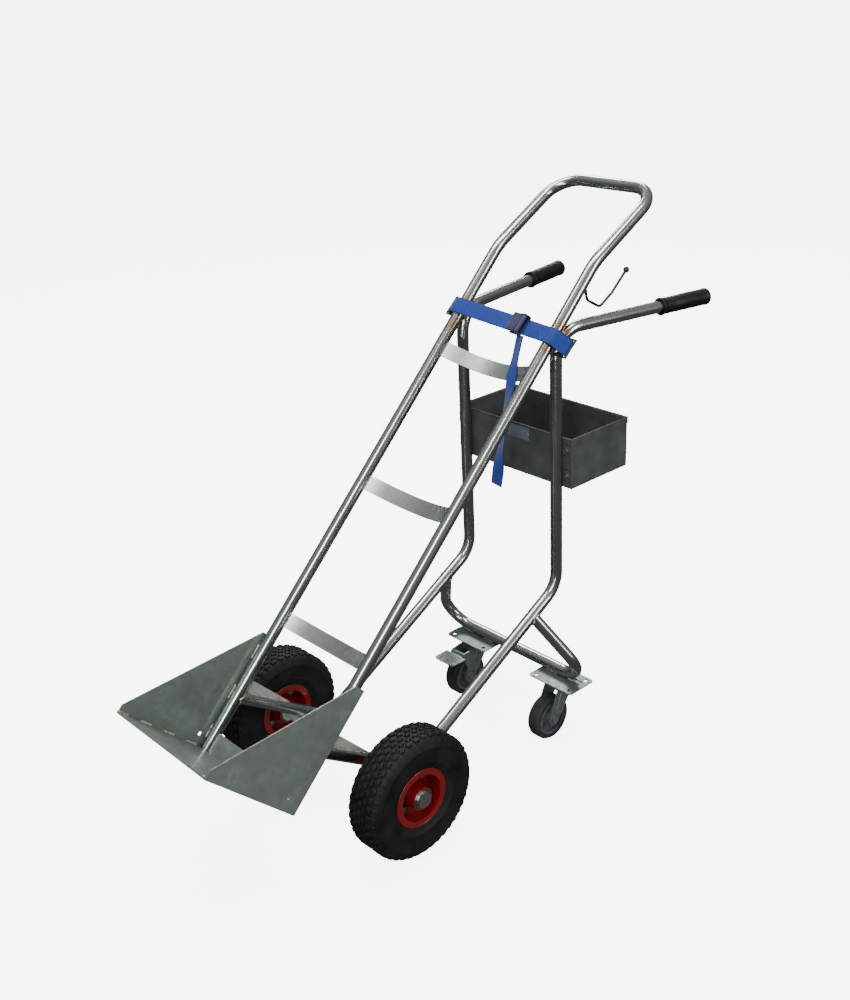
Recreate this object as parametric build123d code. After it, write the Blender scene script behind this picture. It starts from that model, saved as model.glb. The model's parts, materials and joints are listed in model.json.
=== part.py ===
from build123d import *
import os
from math import asin, atan2, cos, degrees, hypot, radians, sin, tan

# Hand truck with castor legs, tool box and lashing strap. Millimetres.
# +X is the operator's left, -Y the loading side, +Y the handle side, +Z up.
# Everything is laid out from the middle of the main axle line on the floor,
# and the finished pieces are shifted so that the origin is the middle of the
# footprint.

# ---------------------------------------------------------------- frame tube
tube_diameter = 25.0
tube_wall = 2.0
frame_half_width = 131.0          # tube centres to the middle plane
tube_r = tube_diameter / 2

upright_slope = 44.9              # degrees above the floor
upright_length = 1195.0           # foot to the gentle bend
foot_y = -232.0
foot_z = 174.0
hoop_slope = 29.3
hoop_reach = 225.0                # gentle bend to the top of the hoop
hoop_bend_radius = 150.0
hoop_corner_radius = 62.0

leg_y = 502.0                     # upright part of the side tubes
handle_splay = 10.8               # degrees outward
handle_length = 391.0
handle_bend_radius = 57.0
knee_y = 73.0                     # lowest corner of the side tubes
knee_z = 107.0
lower_leg_slope = 29.4
leg_bend_radius = 60.0
knee_bend_radius = 62.0

# ------------------------------------------------------- castor frame and axle
castor_height = 128.0
castor_arm_y = 426.0
castor_corner_x = 232.0
castor_corner_y = 510.0
castor_bend_radius = 52.0
axle_diameter = 20.0
axle_seat = 0.4                   # depth that the axle is let into the arms

# --------------------------------------------------------------------- scoop
toe_reach = 228.0
toe_thickness = 4.0
wing_thickness = 3.0
wing_height = 255.0
wing_nose = 14.0
wing_hole_diameter = 9.0
wing_hole_up = 23.0
wing_hole_forward = 24.0

# --------------------------------------------------------------- cross plates
plate_heights = {"lower": 299.0, "middle": 620.0, "upper": 941.0}
plate_width = 33.0
plate_thickness = 4.0
plate_sag = 44.0
bar_width = 45.5                  # from the underside of the toe plate upward
bar_thickness = 5.0
gusset_thickness = 4.0
gusset_up = 28.0
gusset_along = 128.0

# ---------------------------------------------------------------- main wheels
wheel_diameter = 260.0
wheel_centre_x = 210.5
tread_width = 58.0
tyre_width = 82.0
tyre_wall = 8.0
bead_radius = 50.8
rim_flange_radius = 60.0
rim_half_width = 32.5
rim_sheet = 2.5
bearing_od = 42.0
bearing_width = 12.0
hub_half_length = 35.0
bolt_circle_radius = 39.0
rim_bolt_diameter = 8.0
running_clearance = 0.05
end_gap = 0.3
valve_diameter = 8.0
washer_diameter = 34.0
washer_thickness = 1.5
collar_thickness = 4.0
cap_diameter = 32.0
cap_length = 5.0
axle_end_cover = 3.0              # how far the cap reaches past the axle end

# -------------------------------------------------------------------- castors
castor_x = {"left": 146.0, "right": -113.0}
castor_pivot_y = 499.0
castor_trail = 43.0
castor_wheel_diameter = 100.0
castor_wheel_width = 30.0
castor_hub_length = 34.0
castor_plate_length = 122.0
castor_plate_depth = 78.0
castor_plate_thickness = 3.0
castor_hole_pitch_x = 94.0
castor_hole_pitch_y = 54.0
castor_hole_diameter = 9.0
race_height = 6.0
race_radius = 26.0
kingpin_diameter = 12.0
fork_sheet = 3.0
fork_crown = 4.2
fork_axle_diameter = 10.0
pedal_width = 62.0
pedal_reach = 50.0
pedal_pin_diameter = 6.0
pedal_pin_forward = 60.0          # hinge pin ahead of the kingpin
pedal_pin_height = 107.0

# ------------------------------------------------------------------- tool box
box_length = 322.0
box_depth = 174.0
box_height = 108.0
box_floor_z = 574.0
box_sheet = 2.0
box_hem_height = 13.0
box_hem_sheet = 1.5
box_bolt_diameter = 6.0
box_bolt_beside = 5.5             # bolt centres outside the legs, through the lugs
box_bolt_heights = (602.0, 657.0)
box_lug_size = 22.0
box_lug_thickness = 3.0
label_length = 60.0
label_height = 28.0
label_thickness = 1.0
label_x = 16.0
label_z = 664.0

# ----------------------------------------------------------- hook, grips, strap
hook_rod_diameter = 6.0
hook_knob_diameter = 13.0
hook_bend_radius = 14.0
grip_length = 128.0
grip_diameter = 37.0
grip_end_wall = 4.0
strap_height = 1027.0             # along the uprights
strap_slant = 3.7                 # degrees
strap_width = 35.0
strap_thickness = 1.6
strap_gap = 0.1
lug_thickness = 3.0
right_lug_slot_x = 158.0
left_lug_slot_x = 162.0
left_lug_drop = 24.0              # behind the left upright's centre, on the side tube
buckle_x = 56.0
buckle_length = 30.0
buckle_width = 44.0
buckle_sheet = 1.6
buckle_side_height = 13.0
buckle_pin_diameter = 5.0
tail_length = 305.0

# --------------------------------------------------------------- derived lines
wheel_radius = wheel_diameter / 2
axle_r = axle_diameter / 2
axle_z = wheel_radius
slope = radians(upright_slope)
upright = Plane(origin=(0, foot_y, foot_z), x_dir=(1, 0, 0),
                z_dir=(0, -sin(slope), cos(slope))).location


def upright_z(y):
    """Height of the uprights' centre lines at a place along Y."""
    return foot_z + (y - foot_y) * tan(slope)


def lower_leg_z(y):
    """Height of the sloping lower part of the side tubes."""
    return knee_z + (y - knee_y) * tan(radians(lower_leg_slope))


def arm_top():
    """Where the axle arms, tangent to the top of the axle, meet the uprights."""
    apart = hypot(knee_y, axle_z - knee_z)
    rise = atan2(axle_z - knee_z, knee_y) + asin((tube_r + axle_r - axle_seat) / apart)
    y = (knee_z + knee_y * tan(rise) - foot_z + foot_y * tan(slope)) / (tan(slope) + tan(rise))
    return y, upright_z(y), rise


arm_y, arm_z, arm_rise = arm_top()
parts = {}


# -------------------------------------------------------------------- helpers
def rod(points, radius, bend):
    """A round bar along straight runs joined by tangent bends."""
    path = FilletPolyline(*points, radius=bend) if len(points) > 2 else Line(*points)
    return sweep(Plane(origin=path @ 0, z_dir=path % 0) * Circle(radius), path=path)


def tube(points, bend):
    """Outer solid and finished hollow tube along the points."""
    outer = rod(points, tube_r, bend)
    return outer, outer - rod(points, tube_r - tube_wall, bend)


def cylinder_x(radius, length, x, y, z, inner=0):
    """A round bar or ring along X, centred on a point."""
    shape = Cylinder(radius, length)
    if inner:
        shape -= Cylinder(inner, length)
    return Pos(x, y, z) * Rot(0, 90, 0) * shape


def turned(points):
    """A solid turned about Z from an outline of (radius, height) points."""
    return revolve(make_face(Plane.XZ * Polyline(*points, close=True)), Axis.Z)


def both_sides(shape):
    """The shape and its mirror image across the middle plane."""
    return [shape, mirror(shape, about=Plane.YZ)]


def group(shapes):
    """Several separate solids kept in one node."""
    return Compound(children=[s for shape in shapes for s in shape.solids()])


def put(name, shape):
    parts[name] = shape


# ---------------------------------------------------------------- frame pieces
def hoop_tube():
    """Both uprights and the hoop at the top, bent from one tube."""
    y1, z1 = foot_y + upright_length * cos(slope), foot_z + upright_length * sin(slope)
    rise = radians(hoop_slope)
    y2, z2 = y1 + hoop_reach * cos(rise), z1 + hoop_reach * sin(rise)
    x = frame_half_width
    y0, z0 = foot_y - toe_thickness * cos(slope), foot_z - toe_thickness * sin(slope)
    points = [(-x, y0, z0), (-x, y1, z1), (-x, y2, z2), (x, y2, z2), (x, y1, z1), (x, y0, z0)]
    radii = [hoop_bend_radius, hoop_corner_radius, hoop_corner_radius, hoop_bend_radius]
    return tube(points, radii)


def side_tube_points():
    """Handle, leg, lower leg and axle arm of the left-hand side tube."""
    x = frame_half_width
    splay = radians(handle_splay)
    top = upright_z(leg_y)
    reach = handle_length - grip_end_wall
    return [(x + reach * sin(splay), leg_y + reach * cos(splay), top), (x, leg_y, top),
            (x, leg_y, lower_leg_z(leg_y)), (x, knee_y, knee_z), (x, arm_y, arm_z)]


def castor_frame_points():
    z = castor_height + tube_r
    x, y = castor_corner_x, castor_corner_y
    a, b = (frame_half_width, castor_arm_y, lower_leg_z(castor_arm_y)), (x, y, z)
    return [a, b, (-x, y, z), (-a[0], a[1], a[2])]


def build_frame():
    hoop_outer, hoop = hoop_tube()
    side_outer, side = tube(side_tube_points(), [handle_bend_radius, leg_bend_radius, knee_bend_radius])
    axle_length = 2 * (wheel_centre_x + hub_half_length + end_gap + washer_thickness + axle_end_cover)
    axle = cylinder_x(axle_r, axle_length, 0, 0, axle_z)
    side = side - hoop_outer - axle
    castor_outer, castor_frame = tube(castor_frame_points(), castor_bend_radius)
    sides_outer = both_sides(side_outer)
    right_half = split(castor_frame, bisect_by=Plane.YZ, keep=Keep.BOTTOM) - sides_outer[1]
    castor_frame = right_half + mirror(right_half, about=Plane.YZ)
    put("main_hoop_tube", hoop)
    left, right = both_sides(side)
    put("left_side_tube", left)
    put("right_side_tube", right)
    put("castor_frame_tube", castor_frame)
    put("axle", axle)

    corner = Plane(origin=(frame_half_width, arm_y, arm_z), x_dir=(0, 1, 0), z_dir=(1, 0, 0))
    up = Vector(cos(slope), sin(slope))
    down = Vector(cos(arm_rise), -sin(arm_rise))
    inside = tube_r / sin((slope + arm_rise) / 2)
    bisect = Vector(cos((slope - arm_rise) / 2), sin((slope - arm_rise) / 2)) * inside
    triangle = make_face(Polyline(Vector(0, 0), up * 2 * tube_r, bisect + up * gusset_up,
                                  bisect + down * gusset_along, down * 2 * tube_r, close=True))
    gusset = extrude(corner * triangle, gusset_thickness / 2, both=True)
    gusset = gusset - hoop_outer - side_outer
    put("axle_gussets", group(both_sides(gusset)))
    return hoop_outer, side_outer


def cross_plate(height):
    """A flat bar bowed to the back between the uprights."""
    half = frame_half_width
    radius = (half ** 2 + plate_sag ** 2) / (2 * plate_sag)
    ring = Circle(radius) - Circle(radius - plate_thickness)
    band = Pos(0, radius - plate_sag) * ring & Pos(0, -plate_sag / 2) * Rectangle(2 * half, plate_sag)
    bar = extrude(Plane.XZ * band, plate_width / 2, both=True)
    return upright * Pos(0, height, 0) * bar


def build_cross_plates(hoop_outer):
    for name, height in plate_heights.items():
        put(f"{name}_cross_plate", cross_plate(height) - hoop_outer)
    bar = upright * Pos(0, -toe_thickness, 0) * Box(
        2 * frame_half_width, bar_width, bar_thickness, align=(Align.CENTER, Align.MIN, Align.MAX))
    put("bottom_cross_bar", bar - hoop_outer)


def build_scoop(hoop_outer):
    """The toe plate, notched round the uprights' feet, and its two wings, square to the uprights."""
    inside = frame_half_width + tube_r
    plate = Box(2 * inside, toe_thickness, toe_reach, align=(Align.CENTER, Align.MAX, Align.MIN))
    put("toe_plate", upright * plate - hoop_outer)
    outline = [(-toe_thickness, -tube_r), (-toe_thickness, toe_reach), (wing_nose, toe_reach),
               (wing_height, tube_r), (wing_height, -tube_r)]
    wing = extrude(Plane.YZ * make_face(Polyline(*outline, close=True)), wing_thickness)
    hole = Pos(0, wing_hole_up, wing_hole_forward) * Rot(0, 90, 0) * Cylinder(
        wing_hole_diameter / 2, 4 * wing_thickness)
    wing = upright * Pos(inside, 0, 0) * (wing - hole)
    left, right = both_sides(wing)
    put("left_toe_wing", left)
    put("right_toe_wing", right)


# ----------------------------------------------------------------- main wheels
def tyre():
    """Hollow tyre, turned about Z: crown, shoulders, sidewalls and beads."""
    r, half, bead = wheel_radius, tyre_width / 2, rim_half_width - rim_sheet
    middle = (r + rim_flange_radius) / 2
    crown = tread_width / 2
    outer = [(r, crown), (r - 5, crown + 7), (middle + 7, half), (middle - 12, half - 1.5),
             (rim_flange_radius + 3, bead + 1.5)]
    w = tyre_wall
    inner = [(r - w, crown - 6), (r - w - 4, crown + 1), (middle + 5, half - w),
             (middle - 14, half - w - 2), (rim_flange_radius + 1, bead - w)]
    side = Spline(*outer)
    back = Spline(*inner)
    half_face = make_face([
        Line((r, 0), outer[0]), side, Line(outer[-1], (rim_flange_radius, bead)),
        Line((rim_flange_radius, bead), (bead_radius, bead)),
        Line((bead_radius, bead), (bead_radius, bead - w)),
        Line((bead_radius, bead - w), inner[-1]), back, Line(inner[0], (r - w, 0)),
        Line((r - w, 0), (r, 0)),
    ])
    face = Plane.XZ * (half_face + mirror(half_face, about=Plane.XZ))
    return revolve(face, Axis.Z)


def rim_half():
    """One pressed half of the rim with its bearing cup, on the +Z side."""
    s, seat, flange = rim_sheet, bead_radius, rim_half_width
    cup = bearing_od / 2
    floor = hub_half_length - bearing_width
    outline = [(rim_flange_radius, flange - s), (rim_flange_radius, flange), (seat - s, flange),
               (seat - s, s), (cup + 10, s), (cup + s, floor - 3), (cup + s, hub_half_length),
               (cup, hub_half_length), (cup, floor), (cup - 4, floor), (cup - 4, floor - s),
               (cup - 0.4, floor - s), (cup + 7.9, 0), (seat, 0), (seat, flange - s)]
    half = turned(outline)
    for spot in PolarLocations(bolt_circle_radius, 4, 45):
        half -= spot * Cylinder(rim_bolt_diameter / 2, 6 * s)
    return half


def rim_bolt():
    """A hex bolt through both rim halves, head outward, with its nut inward."""
    r, s = rim_bolt_diameter / 2, rim_sheet
    head = extrude(RegularPolygon(1.6 * r, 6, major_radius=False), 1.3 * r)
    grip = 2 * s
    bolt = Pos(0, 0, s) * head + Pos(0, 0, -s - 1.8 * r) * Cylinder(
        r, grip + 1.8 * r, align=(Align.CENTER, Align.CENTER, Align.MIN))
    nut = extrude(RegularPolygon(1.6 * r, 6, major_radius=False), 1.4 * r) - Cylinder(r, 9 * r)
    return bolt, Pos(0, 0, -s - 1.4 * r) * nut


def wheel_pieces():
    """All pieces of a main wheel, turned about Z with +Z outward."""
    outer_half = rim_half()
    inner_half = mirror(outer_half, about=Plane.XY)
    middle = rim_half_width / 2
    valve = Pos(bead_radius + 2, 0, middle) * Rot(0, -90, 0) * (
        Cylinder(valve_diameter / 2, 16, align=(Align.CENTER, Align.CENTER, Align.MIN))
        + Pos(0, 0, 13) * Cylinder(valve_diameter / 2 + 1, 5, align=(Align.CENTER, Align.CENTER, Align.MIN)))
    outer_half -= Pos(bead_radius + 2, 0, middle) * Rot(0, -90, 0) * Cylinder(valve_diameter / 2, 12)
    ring = turned([(axle_r + running_clearance, hub_half_length - bearing_width),
                   (bearing_od / 2, hub_half_length - bearing_width),
                   (bearing_od / 2, hub_half_length), (axle_r + running_clearance, hub_half_length)])
    bolts, nuts = [], []
    for spot in PolarLocations(bolt_circle_radius, 4, 45):
        bolt, nut = rim_bolt()
        bolts.append(spot * bolt)
        nuts.append(spot * nut)
    return {"tyre": tyre(), "rim_outer": outer_half, "rim_inner": inner_half,
            "bearings": group([ring, mirror(ring, about=Plane.XY)]), "valve": valve,
            "rim_bolts": group(bolts), "rim_nuts": group(nuts)}


def build_main_wheels():
    pieces = wheel_pieces()
    for side, x in (("left", 1), ("right", -1)):
        seat = Plane(origin=(x * wheel_centre_x, 0, axle_z), x_dir=(0, 0, 1), z_dir=(x, 0, 0)).location
        for name, shape in pieces.items():
            put(f"{side}_wheel_{name}", seat * shape)
    face = wheel_centre_x + hub_half_length + end_gap
    back = wheel_centre_x - hub_half_length - end_gap
    washer = cylinder_x(washer_diameter / 2, washer_thickness, face + washer_thickness / 2, 0, axle_z,
                        axle_r)
    collar = cylinder_x(washer_diameter / 2, collar_thickness, back - collar_thickness / 2, 0, axle_z,
                        axle_r)
    start = face + washer_thickness
    cap = cylinder_x(cap_diameter / 2, cap_length, start + cap_length / 2, 0, axle_z)
    cap -= cylinder_x(axle_r, axle_end_cover, start + axle_end_cover / 2, 0, axle_z)
    put("axle_collars", group(both_sides(collar)))
    put("axle_washers", group(both_sides(washer)))
    put("axle_caps", group(both_sides(cap)))


# -------------------------------------------------------------------- castors
def fork_leg(braked):
    """Side outline of a fork leg: Y to the back, Z up, from the kingpin axis."""
    top = castor_height - castor_plate_thickness - race_height - end_gap
    axle = (-castor_trail, castor_wheel_diameter / 2)
    outline = Polyline((22, top), (-30, top), (axle[0] - 16, axle[1] + 8), axle, (axle[0] + 15.5, axle[1] - 4),
                       close=True)
    leg = make_face(outline) + Pos(*axle) * Circle(16)
    if braked:
        pin = (-pedal_pin_forward, pedal_pin_height)
        leg += Pos(*pin) * Circle(7)
        leg += make_face(Polyline((-20, top), (pin[0], pin[1] + 7), (pin[0] - 6, pin[1] - 3.6),
                                  (axle[0] - 8, axle[1] + 20), close=True))
        leg -= Pos(*pin) * Circle(pedal_pin_diameter / 2)
    return leg - Pos(*axle) * Circle(fork_axle_diameter / 2)


def castor_fork(braked):
    top = castor_height - castor_plate_thickness - race_height - end_gap
    outside = castor_hub_length / 2 + 0.5 + fork_sheet
    leg = Pos(outside - fork_sheet, 0, 0) * extrude(Plane.YZ * fork_leg(braked), fork_sheet)
    crown = Pos(0, -4, top) * Box(2 * outside, 52, fork_crown, align=(Align.CENTER, Align.CENTER, Align.MAX))
    crown += Pos(0, 0, top) * Cylinder(race_radius, fork_crown, align=(Align.CENTER, Align.CENTER, Align.MAX))
    fork = crown + leg + mirror(leg, about=Plane.YZ)
    return fork - Cylinder(kingpin_diameter / 2 + running_clearance, 3 * castor_height)


def castor_pieces(braked):
    """All pieces of one castor about its kingpin axis, wheel trailing to -Y."""
    under = castor_height - castor_plate_thickness
    plate = Pos(0, 0, under) * Box(castor_plate_length, castor_plate_depth, castor_plate_thickness,
                                   align=(Align.CENTER, Align.CENTER, Align.MIN))
    plate = fillet(plate.edges().filter_by(Axis.Z), 8)
    for spot in GridLocations(castor_hole_pitch_x, castor_hole_pitch_y, 2, 2):
        plate -= spot * Cylinder(castor_hole_diameter / 2, 3 * castor_height)
    plate += Pos(0, 0, under) * Cylinder(race_radius, race_height, align=(Align.CENTER, Align.CENTER, Align.MAX))
    plate -= Cylinder(kingpin_diameter / 2, 3 * castor_height)
    low = (Align.CENTER, Align.CENTER, Align.MAX)
    fork_under = under - race_height - end_gap - fork_crown
    kingpin = Pos(0, 0, castor_height) * Cylinder(kingpin_diameter / 2, castor_height - fork_under + end_gap, align=low)
    kingpin += Pos(0, 0, fork_under - end_gap) * Cylinder(kingpin_diameter / 2 + 4, 3.2, align=low)
    r, w = castor_wheel_diameter / 2, castor_wheel_width / 2
    hub = castor_hub_length / 2
    seat = Pos(0, -castor_trail, r) * Rot(0, 90, 0)
    core_r = r - 12
    tread = turned([(core_r, -w), (r - 3, -w), (r, -w + 5), (r, w - 5), (r - 3, w), (core_r, w)])
    bore = fork_axle_diameter / 2 + running_clearance
    core = turned([(bore, -hub), (13, -hub), (13, -6), (core_r - 5, -6), (core_r - 5, -w + 1), (core_r, -w + 1),
                   (core_r, w - 1), (core_r - 5, w - 1), (core_r - 5, 6), (13, 6), (13, hub), (bore, hub)])
    outside = hub + 0.5 + fork_sheet
    axle = cylinder_x(fork_axle_diameter / 2, 2 * outside, 0, -castor_trail, r)
    head = extrude(RegularPolygon(8.5, 6, major_radius=False), 5)
    for side in (1, -1):
        axle += Pos(side * outside, -castor_trail, r) * Rot(0, side * 90, 0) * head
    return {"plate": plate, "kingpin": kingpin, "fork": castor_fork(braked), "tread": seat * tread,
            "wheel_core": seat * core, "axle_bolt": axle}


def brake_pieces():
    """Foot pedal that turns on a pin between the fork ears, with its shoe cam."""
    y, z = -pedal_pin_forward, pedal_pin_height
    inner = castor_hub_length / 2
    barrel = cylinder_x(6, 2 * inner, 0, y, z)
    arm = Pos(0, y, z) * Box(2 * inner, 14, 3, align=(Align.CENTER, Align.MAX, Align.CENTER))
    tread = Pos(0, y - 9, z) * Box(pedal_width, pedal_reach - 9, 3, align=(Align.CENTER, Align.MAX, Align.CENTER))
    tread = fillet(tread.edges().filter_by(Axis.Z).group_by(Axis.Y)[0], 8)
    cam = Pos(0, y + 4, z - 5) * Box(20, 9, 8, align=(Align.CENTER, Align.CENTER, Align.CENTER))
    pedal = barrel + arm + tread
    wheel = cylinder_x(castor_wheel_diameter / 2 + 1.2, 60, 0, -castor_trail, castor_wheel_diameter / 2)
    pedal = pedal + (cam - wheel)
    pedal -= cylinder_x(pedal_pin_diameter / 2 + running_clearance, 90, 0, y, z)
    outside = castor_hub_length / 2 + 0.5 + fork_sheet
    pin = cylinder_x(pedal_pin_diameter / 2, 2 * outside, 0, y, z)
    for side in (1, -1):
        pin += cylinder_x(pedal_pin_diameter / 2 + 1.5, 2, side * (outside + 1), y, z)
    return {"brake_pedal": pedal, "brake_pin": pin}


def build_castors():
    for side, x in castor_x.items():
        seat = Pos(x, castor_pivot_y, 0)
        pieces = castor_pieces(side == "right")
        if side == "right":
            pieces |= brake_pieces()
        for name, shape in pieces.items():
            put(f"{side}_castor_{name}", seat * shape)


# ------------------------------------------------------------------- tool box
def build_tool_box():
    front = leg_y + tube_r
    low = (Align.CENTER, Align.MIN, Align.MIN)
    box = Box(box_length, box_depth, box_height, align=low)
    box -= Pos(0, box_sheet, box_sheet) * Box(box_length - 2 * box_sheet, box_depth - 2 * box_sheet, box_height,
                                             align=low)
    hem = Pos(0, 0, box_height - box_hem_height) * (
        Box(box_length + 2 * box_hem_sheet, box_depth + box_hem_sheet, box_hem_height, align=low)
        - Box(box_length, box_depth, box_hem_height, align=low))
    box = Pos(0, front, box_floor_z) * (box + hem)
    bolts, lugs = [], []
    r = box_bolt_diameter / 2
    box_bolt_x = frame_half_width + tube_r + box_bolt_beside
    for x in (box_bolt_x, -box_bolt_x):
        for z in box_bolt_heights:
            spot = Pos(x, front, z) * Rot(90, 0, 0)
            box -= spot * Cylinder(r, 6 * box_sheet)
            sign = 1 if x > 0 else -1
            inner = frame_half_width
            lug = Pos(sign * inner, front, z) * Box(
                box_bolt_x - inner + box_lug_size / 2, box_lug_thickness, box_lug_size,
                align=(Align.MIN if sign > 0 else Align.MAX, Align.MAX, Align.CENTER))
            lug -= spot * Cylinder(r, 9 * box_lug_thickness)
            lug -= Pos(sign * inner, leg_y, z) * Cylinder(tube_r, 2 * box_lug_size)
            lugs.append(lug)
            grip = box_lug_thickness + box_sheet
            head = Pos(0, 0, box_lug_thickness) * extrude(RegularPolygon(1.7 * r, 6, major_radius=False), 1.3 * r)
            nut = Pos(0, 0, -box_sheet) * extrude(RegularPolygon(1.7 * r, 6, major_radius=False), -1.6 * r)
            shank = Pos(0, 0, box_lug_thickness) * Cylinder(
                r, grip + 3 * r, align=(Align.CENTER, Align.CENTER, Align.MAX))
            bolts.append(spot * (head + shank + nut))
    put("tool_box", box)
    put("tool_box_lugs", group(lugs))
    put("tool_box_bolts", group(bolts))
    label = Pos(label_x, front, label_z) * Box(label_length, label_thickness, label_height,
                                               align=(Align.CENTER, Align.MAX, Align.CENTER))
    put("label_plate", fillet(label.edges().filter_by(Axis.Y), 3))


# --------------------------------------------------------- hook, grips, buckle
def build_hook(hoop_outer):
    """Hose hook under the left upright, ending in a round knob."""
    x, y0 = frame_half_width, 585.0
    points = [(x, y0, upright_z(y0) - 2), (x, y0 + 8, upright_z(y0) - 41), (x, y0 + 47, upright_z(y0) - 63),
              (x, y0 + 84, upright_z(y0) - 42), (x, y0 + 128, upright_z(y0) - 4)]
    hook = rod(points, hook_rod_diameter / 2, hook_bend_radius) - hoop_outer
    knob = Pos(*points[-1]) * Sphere(hook_knob_diameter / 2)
    put("hose_hook", hook - knob)
    put("hook_knob", knob)


def build_grips():
    points = side_tube_points()
    end, corner = Vector(points[0]), Vector(points[1])
    way = (end - corner).normalized()
    r, big = tube_r, grip_diameter / 2
    outline = [(r, 0), (big, 0), (big, 5), (big - 2, 8), (big - 2, grip_length - 12), (big, grip_length - 9),
               (big, grip_length - 3), (big - 3, grip_length), (0, grip_length),
               (0, grip_length - grip_end_wall), (r, grip_length - grip_end_wall)]
    start = end - way * (grip_length - grip_end_wall)
    grip = Plane(origin=start, z_dir=way).location * turned(outline)
    left, right = both_sides(grip)
    put("left_grip", left)
    put("right_grip", right)


def strap_band(points, bend):
    """Flat webbing across the uprights along (x, height above the tube centres)."""
    line = Plane.XZ * FilletPolyline(*points, radius=bend)
    section = Plane(origin=line @ 0, x_dir=(0, 1, 0), z_dir=line % 0) * Rectangle(strap_width, strap_thickness)
    return sweep(section, path=line)


def strap_lug(drop, reach):
    """Slotted tab beside an upright, set back from the tube centres by drop."""
    slot = 5.0
    lug = Pos(frame_half_width, 0, -drop) * Box(reach - frame_half_width + slot / 2 + 4, strap_width + 9,
                                                lug_thickness, align=(Align.MIN, Align.CENTER, Align.CENTER))
    return lug - Pos(reach, 0, -drop) * Box(slot, strap_width + 1.6, 4 * lug_thickness)


def build_strap(hoop_outer, side_outer):
    frame = upright * Pos(0, strap_height, 0) * Rot(0, 0, -strap_slant)
    level = tube_r + strap_gap + strap_thickness / 2
    outer = frame_half_width + tube_r
    left_lug = frame * strap_lug(left_lug_drop, left_lug_slot_x) - hoop_outer - side_outer
    right_lug = frame * mirror(strap_lug(0, right_lug_slot_x), about=Plane.YZ) - hoop_outer
    put("strap_lugs", group([left_lug, right_lug]))
    near, far = buckle_x + buckle_length / 2, buckle_x - buckle_length / 2
    left_end = [(left_lug_slot_x, -left_lug_drop - 6), (left_lug_slot_x, -left_lug_drop + 5),
                (outer + 2, level), (near - 8, level)]
    right_end = [(-right_lug_slot_x, -6), (-right_lug_slot_x, 3), (-outer - 1, level), (far + 8, level)]
    put("strap_left_web", frame * strap_band(left_end, 4))
    put("strap_right_web", frame * strap_band(right_end, 4))

    top = level + strap_thickness / 2
    low = (Align.CENTER, Align.CENTER, Align.MIN)
    channel = Pos(buckle_x, 0, top) * (
        Box(buckle_length, buckle_width, buckle_side_height, align=low)
        - Pos(0, 0, buckle_sheet) * Box(buckle_length + 1, buckle_width - 2 * buckle_sheet, buckle_side_height,
                                        align=low))
    pin_place = Pos(buckle_x + 4, 0, top + buckle_side_height - 4.5) * Rot(90, 0, 0)
    pin_r = buckle_pin_diameter / 2
    channel -= pin_place * Cylinder(pin_r, 2 * buckle_width)
    pin = pin_place * Cylinder(pin_r, buckle_width + 2)
    inner = buckle_width - 2 * buckle_sheet - 1.0
    lever = pin_place * Cylinder(pin_r + 2.5, inner)
    lever += Pos(buckle_x + 4, 0, top + buckle_side_height - 2) * Box(
        buckle_length - 6, inner, 2, align=(Align.MAX, Align.CENTER, Align.MIN))
    lever -= pin_place * Cylinder(pin_r + running_clearance, 2 * buckle_width)
    put("buckle_frame", frame * channel)
    put("buckle_pin", frame * pin)
    put("buckle_lever", frame * lever)

    slant_rise = strap_width / 2 * sin(radians(strap_slant))   # keeps both tail corners under the web
    start = (frame * Pos(buckle_x + 12, -strap_width / 2 - end_gap - slant_rise, level)).position
    bend = (buckle_x + 12, 432.0, 800.0)
    end = (buckle_x + 4, 432.0 - 0.15 * (tail_length - 94), 800.0 - 0.985 * (tail_length - 94))
    path = FilletPolyline(start, bend, end, radius=150)
    section = Plane(origin=path @ 0, x_dir=(1, 0, 0), z_dir=path % 0) * Rectangle(strap_width, strap_thickness)
    put("strap_tail", sweep(section, path=path))
    print("tail", tuple(start), bend, end, "bend radius 150, length", round(path.length, 2))


def write_parts():
    boxes = [shape.bounding_box() for shape in parts.values()]
    low = min(b.min.Y for b in boxes)
    high = max(b.max.Y for b in boxes)
    middle = (low + high) / 2
    os.makedirs("parts", exist_ok=True)
    for name, shape in parts.items():
        export_step(Pos(0, -middle, 0) * shape, f"parts/{name}.step")
    print("nodes", len(parts), "axle at y", round(-middle, 3), "z", axle_z)
    print("x", min(b.min.X for b in boxes), max(b.max.X for b in boxes), "y", low, high,
          "z", min(b.min.Z for b in boxes), max(b.max.Z for b in boxes))


hoop_outer, side_outer = build_frame()
build_cross_plates(hoop_outer)
build_scoop(hoop_outer)
build_main_wheels()
build_castors()
build_tool_box()
build_hook(hoop_outer)
build_grips()
build_strap(hoop_outer, side_outer)
write_parts()
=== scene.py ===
import json
import math

import bmesh
import bpy
from bpy.props import FloatProperty, FloatVectorProperty, IntProperty, PointerProperty
from mathutils import Matrix, Vector


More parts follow.
